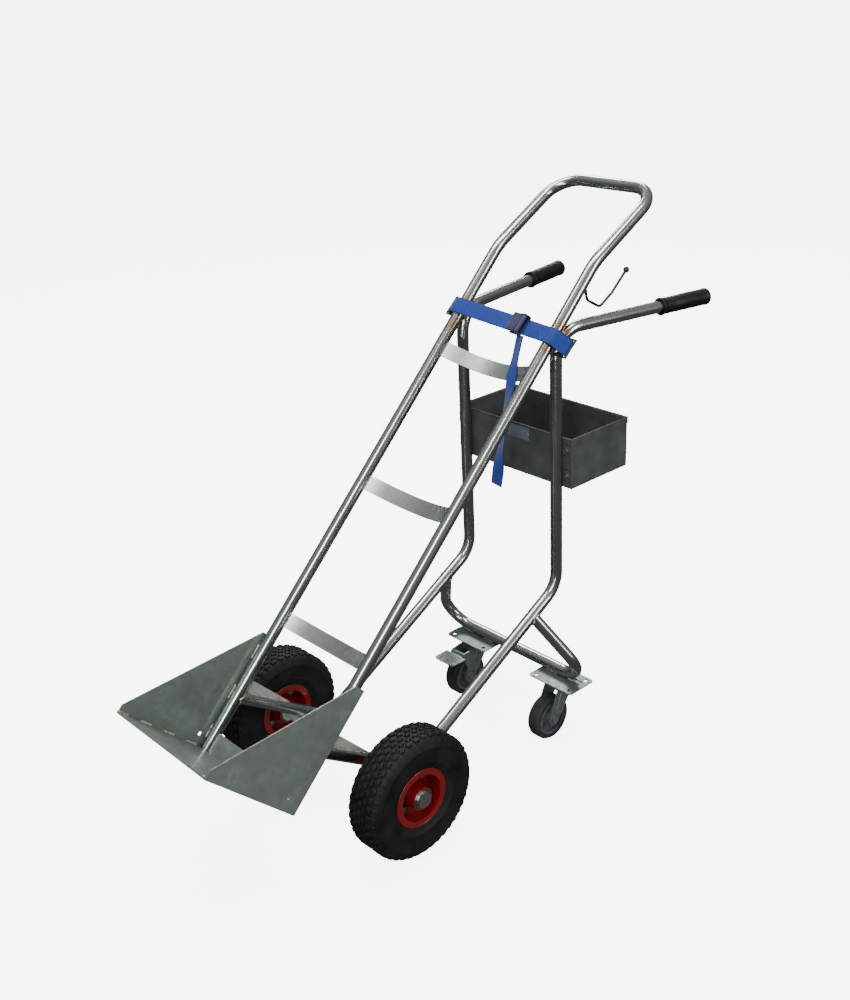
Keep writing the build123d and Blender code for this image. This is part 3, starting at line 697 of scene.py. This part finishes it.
class StageSizes(bpy.types.PropertyGroup):
    lens: FloatProperty(name="Lens", description="Focal length of the camera", default=45.25, unit="CAMERA")
    azimuth: FloatProperty(name="Azimuth", description="How far round the object the camera stands",
                           default=math.radians(48.59), unit="ROTATION")
    elevation: FloatProperty(name="Elevation", description="How far the camera looks down",
                             default=math.radians(23.96), unit="ROTATION")
    roll: FloatProperty(name="Roll", description="How far the camera leans", default=math.radians(-2.79),
                        unit="ROTATION")
    place: FloatVectorProperty(name="Camera place", description="Where the camera stands",
                               default=(1.7196, -1.5049, 1.6072), subtype="TRANSLATION")
    key_power: FloatProperty(name="Key light", description="Power of the main light", default=150,
                             unit="POWER")


class DetailSizes(bpy.types.PropertyGroup):
    strap_width: FloatProperty(name="Strap width", description="Width of the webbing", default=35 * MM,
                               unit="LENGTH")
    strap_thickness: FloatProperty(name="Strap thickness", description="Thickness of the webbing",
                                   default=1.6 * MM, unit="LENGTH")
    stitch_pitch: FloatProperty(name="Stitch pitch", description="From one stitch to the next",
                                default=4 * MM, unit="LENGTH")
    weld_width: FloatProperty(name="Weld width", description="Width of a weld bead", default=4.4 * MM,
                              unit="LENGTH")
    grip_rings: IntProperty(name="Grip rings", description="Shallow rings behind a grip's collar",
                            default=4, min=0, max=4)
    castor_ribs: IntProperty(name="Castor ribs", description="Ribs on each side of a castor wheel",
                             default=8, min=3)
    pedal_ribs: IntProperty(name="Pedal ribs", description="Raised ribs across the brake pedal", default=5,
                            min=1, max=5)


class Colours(bpy.types.PropertyGroup):
    rims: FloatVectorProperty(name="Rims", description="Enamel on the wheel rims", size=4, subtype="COLOR",
                              default=linear("#640002"))
    strap: FloatVectorProperty(name="Strap", description="Webbing of the strap", size=4, subtype="COLOR",
                               default=linear("#06328C"))
    buckle: FloatVectorProperty(name="Buckle", description="Paint on the buckle", size=4, subtype="COLOR",
                                default=linear("#0B1030"))
    tool_box: FloatVectorProperty(name="Tool box", description="Powder coat on the tool box", size=4,
                                  subtype="COLOR", default=linear("#2B302E"))
    grips: FloatVectorProperty(name="Grips", description="Vinyl of the handle grips", size=4,
                               subtype="COLOR", default=linear("#070708"))
    floor: FloatVectorProperty(name="Floor", description="Shade of the floor", size=4, subtype="COLOR",
                               default=linear("#F4F4F3"))


# --------------------------------------------------------------- operators
class HANDTRUCK_OT_stage(bpy.types.Operator):
    """Sets the floor, the soft lights and the camera"""
    bl_idname = "handtruck.stage"
    bl_label = "Stage"

    def execute(self, context):
        sizes = context.scene.handtruck_stage
        half_floor, paper_glow, sky_seen, aim_height = 60, 5.5, 7.0, 0.5
        a, e, r = sizes.azimuth, sizes.elevation, sizes.roll
        back = Vector((math.sin(a) * math.cos(e), -math.cos(a) * math.cos(e), math.sin(e)))
        right = Vector((math.cos(a), math.sin(a), 0))
        up = back.cross(right)
        x, y = right * math.cos(r) + up * math.sin(r), up * math.cos(r) - right * math.sin(r)
        camera = bpy.data.objects.new("camera", bpy.data.cameras.new("camera"))
        camera.data.lens = sizes.lens
        camera.data.clip_end = 200
        camera.matrix_world = Matrix.Translation(sizes.place) @ Matrix((x, y, back)).transposed().to_4x4()
        context.scene.collection.objects.link(camera)
        context.scene.camera = camera

        floor = bpy.data.meshes.new("floor")
        corners = [(x * half_floor, y * half_floor, 0) for x, y in ((-1, -1), (1, -1), (1, 1), (-1, 1))]
        floor.from_pydata(corners, [], [(0, 1, 2, 3)])
        ground = bpy.data.objects.new("floor", floor)
        context.scene.collection.objects.link(ground)
        paper = bpy.data.materials.new("matt white paper")
        paper.use_nodes = True
        face = paper.node_tree.nodes["Principled BSDF"].inputs
        face["Base Color"].default_value = context.scene.handtruck_colours.floor
        face["Roughness"].default_value = 0.9
        face["Emission Color"].default_value = (1, 1, 1, 1)
        face["Emission Strength"].default_value = paper_glow
        floor.materials.append(paper)
        ground.visible_glossy = ground.visible_diffuse = False

        world = bpy.data.worlds.new("studio")
        world.use_nodes = True
        context.scene.world = world
        tree = world.node_tree
        tree.nodes.clear()
        around = add(tree, "ShaderNodeTexCoord").outputs["Generated"]
        way = add(tree, "ShaderNodeSeparateXYZ", Vector=around)
        rise = add(tree, "ShaderNodeMapRange", Value=way.outputs[2], From_Min=-0.1, From_Max=0.95,
                   To_Min=0.10, To_Max=0.42)
        ray = add(tree, "ShaderNodeLightPath")
        dim = add(tree, "ShaderNodeMix", Factor_Float=ray.outputs["Is Glossy Ray"], A_Float=1.0,
                  B_Float=rise.outputs[0])
        level = add(tree, "ShaderNodeMix", Factor_Float=ray.outputs["Is Camera Ray"],
                    A_Float=dim.outputs[0], B_Float=sky_seen)
        sky = add(tree, "ShaderNodeBackground", Color=(1, 1, 1, 1), Strength=level.outputs[0])
        add(tree, "ShaderNodeOutputWorld", Surface=sky.outputs[0])

        lamps = [("key", (2.2, -3.0, 3.6), (0.6, 2.6), sizes.key_power),
                 ("fill", (4.4, 1.4, 2.4), (0.7, 2.4), 90),
                 ("back", (-2.8, 2.8, 3.6), (2.2, 0.8), 120),
                 ("top", (-0.3, -0.2, 4.8), (1.0, 3.6), 190),
                 ("streak", (2.4, -3.2, 1.0), (0.3, 2.0), 34)]
        for name, place, size, power in lamps:
            light = bpy.data.lights.new(name, "AREA")
            light.shape, light.size, light.size_y, light.energy = "RECTANGLE", *size, power
            lamp = bpy.data.objects.new(name, light)
            lamp.location = place
            aim = Vector((0, 0, aim_height)) - Vector(place)
            lamp.rotation_euler = aim.to_track_quat("-Z", "Y").to_euler()
            context.scene.collection.objects.link(lamp)
        return {"FINISHED"}


class HANDTRUCK_OT_finishes(bpy.types.Operator):
    """Gives every piece carried over from the frame its surface finish"""
    bl_idname = "handtruck.finishes"
    bl_label = "Finishes"

    def execute(self, context):
        for name, piece in frame["nodes"].items():
            slot = NODE_SLOT.get(name)
            piece.data.materials.clear()
            piece.data.materials.append(material(PIECE_FINISH.get(name) or SLOT_FINISH.get(slot, slot)))
        return {"FINISHED"}


class HANDTRUCK_OT_tyres(bpy.types.Operator):
    """Makes the two tyres: moulded casings with rings of tread blocks"""
    bl_idname = "handtruck.tyres"
    bl_label = "Tyres"

    def execute(self, context):
        sizes = context.scene.handtruck_tyre
        tread_top, shoulder_top, shoulder_from, sunk = 130, 122.5, 30, 2
        half = [(126, 0), (126, 25), (125, 30), (121, 35.5), (115, 39.3), (111, 40.4), (110, 41),
                (107, 41), (106, 40.4), (98, 40.8), (88, 40.2), (80, 38.6), (78, 38.9), (75, 38.1),
                (74, 36.8), (68, 34.0),
                (63, 31.6), (60, 30.2), (50.8, 30),
                (50.8, 22), (60, 22), (80, 31), (100, 33), (115, 27), (118, 18), (118, 0)]
        outline = half + [(r, -h) for r, h in reversed(half[1:-1])]
        rows = [(0, 9, 11, 4, 0, 0, 0), (12, 9.5, 12, 4, 0, 14, 0.5), (-12, 9.5, 12, 4, 0, -14, 0.5),
                (24.5, 11, 12.5, 4, 8, 0, 0),
                (-24.5, 11, 12.5, 4, -8, 0, 0), (34, 13, 9, 3, 50, 0, 0), (-34, 13, 9, 3, -50, 0, 0)]
        for wheel, x in WHEELS.items():
            centre = Vector((x * MM, AXLE.y, AXLE.z))
            meshes = [turned("casing", outline, centre, (1, 0, 0), 144)]
            for offset, wide, long, high, tilt, twist, phase in rows:
                top = tread_top if abs(offset) < shoulder_from else shoulder_top
                meshes.append(repeated("tread", block("lug"), ring_tree(), {
                    "Copies": sizes.blocks, "Radius": (top - high) * MM + sizes.block_height * 0.25,
                    "Offset": offset * MM,
                    "Size": (wide * MM, long * MM, (high + sunk) * MM), "Tilt": math.radians(tilt),
                    "Twist": math.radians(twist),
                    "Phase": phase, "Centre": centre, "Finish": material("tyre_rubber")}))
            piece = keep(wheel + "_tyre_looks", joined("tyre", meshes), wheel, "tyre_rubber")
            piece.data.set_sharp_from_angle(angle=math.radians(35))
            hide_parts(wheel + "_tyre")
        return {"FINISHED"}


class HANDTRUCK_OT_strap(bpy.types.Operator):
    """Makes the two lengths of webbing that cross the uprights"""
    bl_idname = "handtruck.strap"
    bl_label = "Strap webbing"

    def execute(self, context):
        sizes = context.scene.handtruck_detail
        width, thick = sizes.strap_width / MM, sizes.strap_thickness / MM
        level = TUBE_RADIUS + STRAP_GAP + thick / 2
        left = [(162, -30), (162, -24), (162, -20), (161, -18.4), (159, -15.6), (145.5, level),
                (143, level), (140, level), (63, level)]
        right = [(-158, -6), (-158, 0), (-158, 3), (-156.6, 4), (-146.5, level - 1), (-144.5, level),
                 (-140, level), (49, level)]
        for name, points in (("strap_left_web", left), ("strap_right_web", right)):
            path = smooth_line(name, [on_strap(x, 0, out) for x, out in points])
            facing = (on_strap(0, 1, 0) - on_strap(0, 0, 0)).normalized()
            piece = keep(name + "_looks", webbing(name, path, width, thick, facing), "frame",
                         "webbing_cloth")
            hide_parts(name)
        return {"FINISHED"}


class HANDTRUCK_OT_strap_tail(bpy.types.Operator):
    """Makes the loose end of the strap, twisting as it hangs"""
    bl_idname = "handtruck.strap_tail"
    bl_label = "Strap tail"

    def execute(self, context):
        sizes = context.scene.handtruck_detail
        points = [spot(66.637, 469.518, 891.991), spot(68, 432, 800), spot(60, 400.35, 592.165)]
        path = smooth_line("tail", points)
        twist = [(0, 26), (0.14, 27), (0.28, 12), (0.42, 27), (0.55, 30), (0.74, 29), (0.9, 5), (1, 8)]
        width, thick = sizes.strap_width / MM, sizes.strap_thickness / MM
        band = webbing("tail", path, width, thick, Vector((1, 0, 0)), twist)
        piece = keep("strap_tail_looks", band, "frame", "webbing_cloth")
        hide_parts("strap_tail")
        return {"FINISHED"}


class HANDTRUCK_OT_stitches(bpy.types.Operator):
    """Sews the strap where it folds round its lugs"""
    bl_idname = "handtruck.stitches"
    bl_label = "Strap stitches"

    def execute(self, context):
        thick, proud, half = 1.6, 0.15, 13
        face = TUBE_RADIUS + STRAP_GAP + thick + proud
        runs = []
        for near, far in ((98, 122), (-98, -122)):
            box = [(near, -half), (far, -half), (far, half), (near, half), (near, -half)]
            runs += [[on_strap(x, up, face) for x, up in pair] for pair in zip(box, box[1:])]
            for up in (-half, half):
                runs.append([on_strap(near, up, face), on_strap(far, -up, face)])
        mesh = repeated("stitches", lines("stitches", runs), run_tree(), {
            "Spacing": context.scene.handtruck_detail.stitch_pitch, "Size": (3.2 * MM, 0.9 * MM, 0.9 * MM),
            "Variation": 0.06, "Roundness": 1, "Finish": material("thread")})
        keep("strap_stitches", mesh, "frame", "thread")
        return {"FINISHED"}


class HANDTRUCK_OT_buckle(bpy.types.Operator):
    """Makes the cam buckle: a pressed channel with rounded ears and a ribbed thumb lever"""
    bl_idname = "handtruck.buckle"
    bl_label = "Cam buckle"

    def execute(self, context):
        def place(x, out, up):
            return on_strap(x, up, out)

        ear = [(41, 14.3), (71, 14.3), (71, 20), (69, 24.5), (65, 27.1), (57, 27.2), (48, 23.5), (43, 21),
               (41, 18)]
        floor = [(41, 14.25), (71, 14.25), (71, 15.8), (41, 15.8)]
        side, inside, lever_side = 22, 20.4, 19.4
        frame_parts = [extruded("ear", ear, place, -side, -inside, 0.5),
                       extruded("ear", ear, place, inside, side, 0.5),
                       extruded("floor", floor, place, -side, side, 0.5)]
        piece = keep("buckle_frame_looks", joined("buckle", frame_parts), "frame", "buckle_steel")
        piece.data.set_sharp_from_angle(angle=math.radians(40))
        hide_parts("buckle_frame")
        cam, pivot = 5.5, (60, 22.7)
        turns = [math.radians(a) for a in range(-170, 91, 20)]
        arc = [(pivot[0] + cam * math.cos(t), pivot[1] + cam * math.sin(t)) for t in turns]
        rib, rib_pitch = ((55.5, 27.3), (54.7, 28.0), (53.6, 28.0), (52.9, 27.3)), 2.6
        ribs = [(x - i * rib_pitch, out) for i in range(7) for x, out in rib]
        lever = arc + ribs + [(36.2, 27.4), (35, 28.4), (34.2, 27.6), (35, 25.6), (50, 25.2), (54.3, 24)]
        bar = extruded("lever", lever, place, -lever_side, lever_side, 0.35)
        piece = keep("buckle_lever_looks", bar, "buckle_lever", "buckle_steel")
        piece.data.set_sharp_from_angle(angle=math.radians(40))
        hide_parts("buckle_lever")
        return {"FINISHED"}


class HANDTRUCK_OT_welds(bpy.types.Operator):
    """Lays weld beads where tubes, plates and bars are joined"""
    bl_idname = "handtruck.welds"
    bl_label = "Weld beads"

    def execute(self, context):
        plate_heights, plate_half = (299, 620, 941), 15
        seat_x, wing_x, wing_foot_x, plate_z = 118.0, 142.2, 142.6, 129
        arm_rise, leg_rise, leg_long = math.radians(34.27), math.radians(29.4), 353
        arm_y, arm_z = -148.1, 257.6
        along = upright(UPRIGHT_X, 1, 0) - upright(UPRIGHT_X, 0, 0)
        runs = []
        for side in (1, -1):
            # Cross plates on the uprights.
            for height in plate_heights:
                for x, out in ((119.4, -5.2), (122.6, -10.0)):
                    runs.append([upright(side * x, height + end, out) for end in (-plate_half, plate_half)])
            # Bottom cross bar on the uprights.
            for out in (1.0, -6.0):
                runs.append([upright(side * seat_x, end, out) for end in (4, 39)])
            # Wings on the toe plate, and on the uprights.
            for begin in range(20, 230, 62):
                runs.append([upright(side * wing_foot_x, 1, end) for end in (begin, begin + 26)])
            for begin in (22, 110, 200):
                for out in (8.2, -8.2):
                    runs.append([upright(side * wing_x, end, out) for end in (begin, begin + 28)])
            # Gussets in the corners between the uprights and the side tubes.
            up, down = (math.cos(SLOPE), math.sin(SLOPE)), (math.cos(arm_rise), -math.sin(arm_rise))
            inner_y, inner_z = arm_y + 19.5, arm_z + 1.8
            for x in (128, 134):
                for long, (run_y, run_z) in ((26, up), (120, down)):
                    runs.append([spot(side * x, inner_y, inner_z),
                                 spot(side * x, inner_y + long * run_y, inner_z + long * run_z)])
            # Both ends of the side tubes, and the castor frame on them.
            name = "left" if side > 0 else "right"
            foot = upright(side * UPRIGHT_X, 0, 0)
            way = upright(side * UPRIGHT_X, 1, 0) - foot
            runs.append(seam(name + "_side_tube", foot, way, spot(side * UPRIGHT_X, 505, 905), 60))
            runs.append(seam(name + "_side_tube", foot, way, spot(side * UPRIGHT_X, -148, 257), 60))
            leg = Vector((0, math.cos(leg_rise), math.sin(leg_rise)))
            knee = spot(side * UPRIGHT_X, 73, 107)
            runs.append(seam("castor_frame_tube", knee, leg,
                             knee + leg * leg_long * MM / math.cos(leg_rise), 45))
            # Castor plates under the castor frame.
            x = CASTORS[name]
            for y in (504.6, 515.4):
                for begin in (-46, 18):
                    runs.append([spot(x + end, y, plate_z) for end in (begin, begin + 28)])
        # Hose hook on the left upright.
        wide = context.scene.handtruck_detail.weld_width
        runs.append(seam("hose_hook", upright(UPRIGHT_X, 0, 0), along, spot(UPRIGHT_X, 590, 990), 40))
        mesh = repeated("welds", lines("welds", [run for run in runs if run]), run_tree(), {
            "Spacing": 1.7 * MM, "Size": (3.0 * MM, wide, wide), "Variation": 0.12,
            "Finish": material("weld_metal")})
        keep("weld_beads", mesh, "frame", "weld_metal")
        return {"FINISHED"}


class HANDTRUCK_OT_grips(bpy.types.Operator):
    """Makes the handle grips: dipped sleeves with a rolled collar, shallow rings and a domed end"""
    bl_idname = "handtruck.grips"
    bl_label = "Handle grips"

    def execute(self, context):
        handle_z = FOOT_Z + (HANDLE_Y - FOOT_Y) * math.tan(SLOPE)
        rings_from, ring_pitch = -119, 6
        for name, side in (("left", 1), ("right", -1)):
            way = Vector((side * math.sin(HANDLE_SPLAY), math.cos(HANDLE_SPLAY), 0))
            end = spot(side * UPRIGHT_X, HANDLE_Y, handle_z) + way * HANDLE_LENGTH * MM
            outline = [(12.7, -128), (17.2, -128), (18.3, -127.2), (18.5, -125.5), (18.3, -123.6),
                       (17.2, -122.4)]
            for i in range(context.scene.handtruck_detail.grip_rings):
                h = rings_from + i * ring_pitch
                outline += [(16.9, h), (16.9, h + 3.4), (16.3, h + 4.2), (16.3, h + 5.2)]
            outline += [(16.9, -94), (17.3, -60), (17.2, -30), (17.0, -16), (17.4, -9), (17.9, -6),
                        (17.8, -3.2), (16.4, -1.0),
                        (13.5, -0.2), (0, 0), (0, -4), (12.7, -4)]
            piece = keep(name + "_grip_looks", turned("grip", outline, end, way, 48), "frame",
                         "grip_rubber")
            piece.data.set_sharp_from_angle(angle=math.radians(50))
            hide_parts(name + "_grip")
        return {"FINISHED"}


class HANDTRUCK_OT_rims(bpy.types.Operator):
    """Rolls the lips of the pressed rims"""
    bl_idname = "handtruck.rims"
    bl_label = "Rim lips"

    def execute(self, context):
        lip_radius, lip_out, lip_thick = 60, 31.4, 1.7
        turns = [math.pi * i / 5 for i in range(10)]
        for wheel, x in WHEELS.items():
            lips = []
            for side in (1, -1):
                round_edge = [(lip_radius + lip_thick * math.cos(t),
                               side * (lip_out + lip_thick * math.sin(t))) for t in turns]
                lips.append(turned("lip", round_edge, Vector((x * MM, AXLE.y, AXLE.z)), (1, 0, 0), 96))
            keep(wheel + "_rim_lips", joined("lips", lips), wheel, "red_rim")
        return {"FINISHED"}


class HANDTRUCK_OT_castors(bpy.types.Operator):
    """Adds the ribs of the castor wheels and the embossed ribs of their forks"""
    bl_idname = "handtruck.castors"
    bl_label = "Castor details"

    def execute(self, context):
        fork_half = 20.4
        for name, x in CASTORS.items():
            centre = spot(x, *CASTOR_AXLE)
            ribs = []
            for side in (1, -1):
                ribs.append(repeated("rib", block("rib"), ring_tree(), {
                    "Copies": context.scene.handtruck_detail.castor_ribs, "Radius": 23 * MM,
                    "Offset": side * 8 * MM, "Size": (6 * MM, 2.4 * MM, 21 * MM),
                    "Centre": centre, "Finish": material("castor_core")}))
            piece = keep(name + "_castor_core_ribs", joined("ribs", ribs), name + "_castor_wheel",
                         "castor_core")
            piece.data.set_sharp_from_angle(angle=math.radians(35))
            legs = []
            for side in (1, -1):
                face = x + side * fork_half
                legs.append(pill("emboss", spot(face, 478, 108), spot(face, 463, 72), 2.6))
            keep(name + "_castor_fork_ribs", joined("emboss", legs), name + "_castor_swivel",
                 "castor_steel")
        return {"FINISHED"}


class HANDTRUCK_OT_brake_pedal(bpy.types.Operator):
    """Raises the grip ribs of the brake pedal"""
    bl_idname = "handtruck.brake_pedal"
    bl_label = "Brake pedal ribs"

    def execute(self, context):
        x, first, pitch, half, height = CASTORS["right"], 423, 7, 22, 108.4
        ribs = []
        for i in range(context.scene.handtruck_detail.pedal_ribs):
            y = first - i * pitch
            ribs.append(pill("rib", spot(x - half, y, height), spot(x + half, y, height), 1.3))
        keep("brake_pedal_ribs", joined("ribs", ribs), "brake_pedal", "castor_steel")
        return {"FINISHED"}


class HANDTRUCK_OT_tool_box(bpy.types.Operator):
    """Adds the rolled lip and the welded corners of the tool box, and the rivets of its blank label"""
    bl_idname = "handtruck.tool_box"
    bl_label = "Tool box details"

    def execute(self, context):
        front, back = BOX_FRONT, BOX_FRONT + BOX_DEPTH
        lip_x, lip_z, corner_x, rivet_in = 161.7, 682, 160.4, 4
        lip = [spot(lip_x, front - 0.2, lip_z), spot(lip_x, back + 0.7, lip_z),
               spot(-lip_x, back + 0.7, lip_z), spot(-lip_x, front - 0.2, lip_z)]
        keep("tool_box_lip", wire("lip", lip, 1.7), "frame", "box_paint")
        corners = [[spot(x, y, 577), spot(x, y, 667)] for x in (corner_x, -corner_x)
                   for y in (front + 0.6, back - 0.6)]
        mesh = repeated("corners", lines("corners", corners), run_tree(), {
            "Spacing": 2.4 * MM, "Size": (4.0 * MM, 2.6 * MM, 2.6 * MM), "Variation": 0.1,
            "Finish": material("box_paint")})
        keep("tool_box_corner_welds", mesh, "frame", "box_paint")
        low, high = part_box("label_plate")
        middle = (low.z + high.z) / 2
        ends = [[Vector((low.x + rivet_in * MM, low.y, middle)),
                 Vector((high.x - rivet_in * MM, low.y, middle))]]
        mesh = repeated("rivets", lines("rivets", ends), run_tree(), {
            "Spacing": high.x - low.x - 2 * rivet_in * MM, "Size": (4 * MM, 2 * MM, 4 * MM),
            "Variation": 0.0, "Finish": material("fastener_steel")})
        keep("label_rivets", mesh, "frame", "fastener_steel")
        return {"FINISHED"}


class HANDTRUCK_PT_panel(bpy.types.Panel):
    """Lists the steps and sizes of the hand truck"""
    bl_label = "Hand Truck"
    bl_idname = "HANDTRUCK_PT_panel"
    bl_space_type = "VIEW_3D"
    bl_region_type = "UI"
    bl_category = "Hand Truck"

    def draw(self, context):
        for step in STEPS:
            self.layout.operator(step.bl_idname)
        for group in GROUPS:
            sizes = getattr(context.scene, group)
            for key in GROUPS[group].__annotations__:
                self.layout.prop(sizes, key)


NODE_SLOT = {part["node"]: part["material_slot"] for part in frame["record"]["subparts"]}
GROUPS = {"handtruck_tyre": TyreSizes, "handtruck_detail": DetailSizes, "handtruck_colours": Colours,
          "handtruck_stage": StageSizes}
STEPS = (HANDTRUCK_OT_stage, HANDTRUCK_OT_finishes, HANDTRUCK_OT_tyres, HANDTRUCK_OT_rims,
         HANDTRUCK_OT_strap, HANDTRUCK_OT_strap_tail, HANDTRUCK_OT_stitches, HANDTRUCK_OT_buckle,
         HANDTRUCK_OT_welds, HANDTRUCK_OT_grips, HANDTRUCK_OT_castors, HANDTRUCK_OT_brake_pedal,
         HANDTRUCK_OT_tool_box)


def register():
    for made in (*GROUPS.values(), *STEPS, HANDTRUCK_PT_panel):
        bpy.utils.register_class(made)
    for key, group in GROUPS.items():
        setattr(bpy.types.Scene, key, PointerProperty(type=group))


def unregister():
    for key in GROUPS:
        delattr(bpy.types.Scene, key)
    for made in reversed((*GROUPS.values(), *STEPS, HANDTRUCK_PT_panel)):
        bpy.utils.unregister_class(made)


def main():
    register()
    for step in STEPS:
        area, name = step.bl_idname.split(".")
        getattr(getattr(bpy.ops, area), name)()


if __name__ == "__main__":
    main()
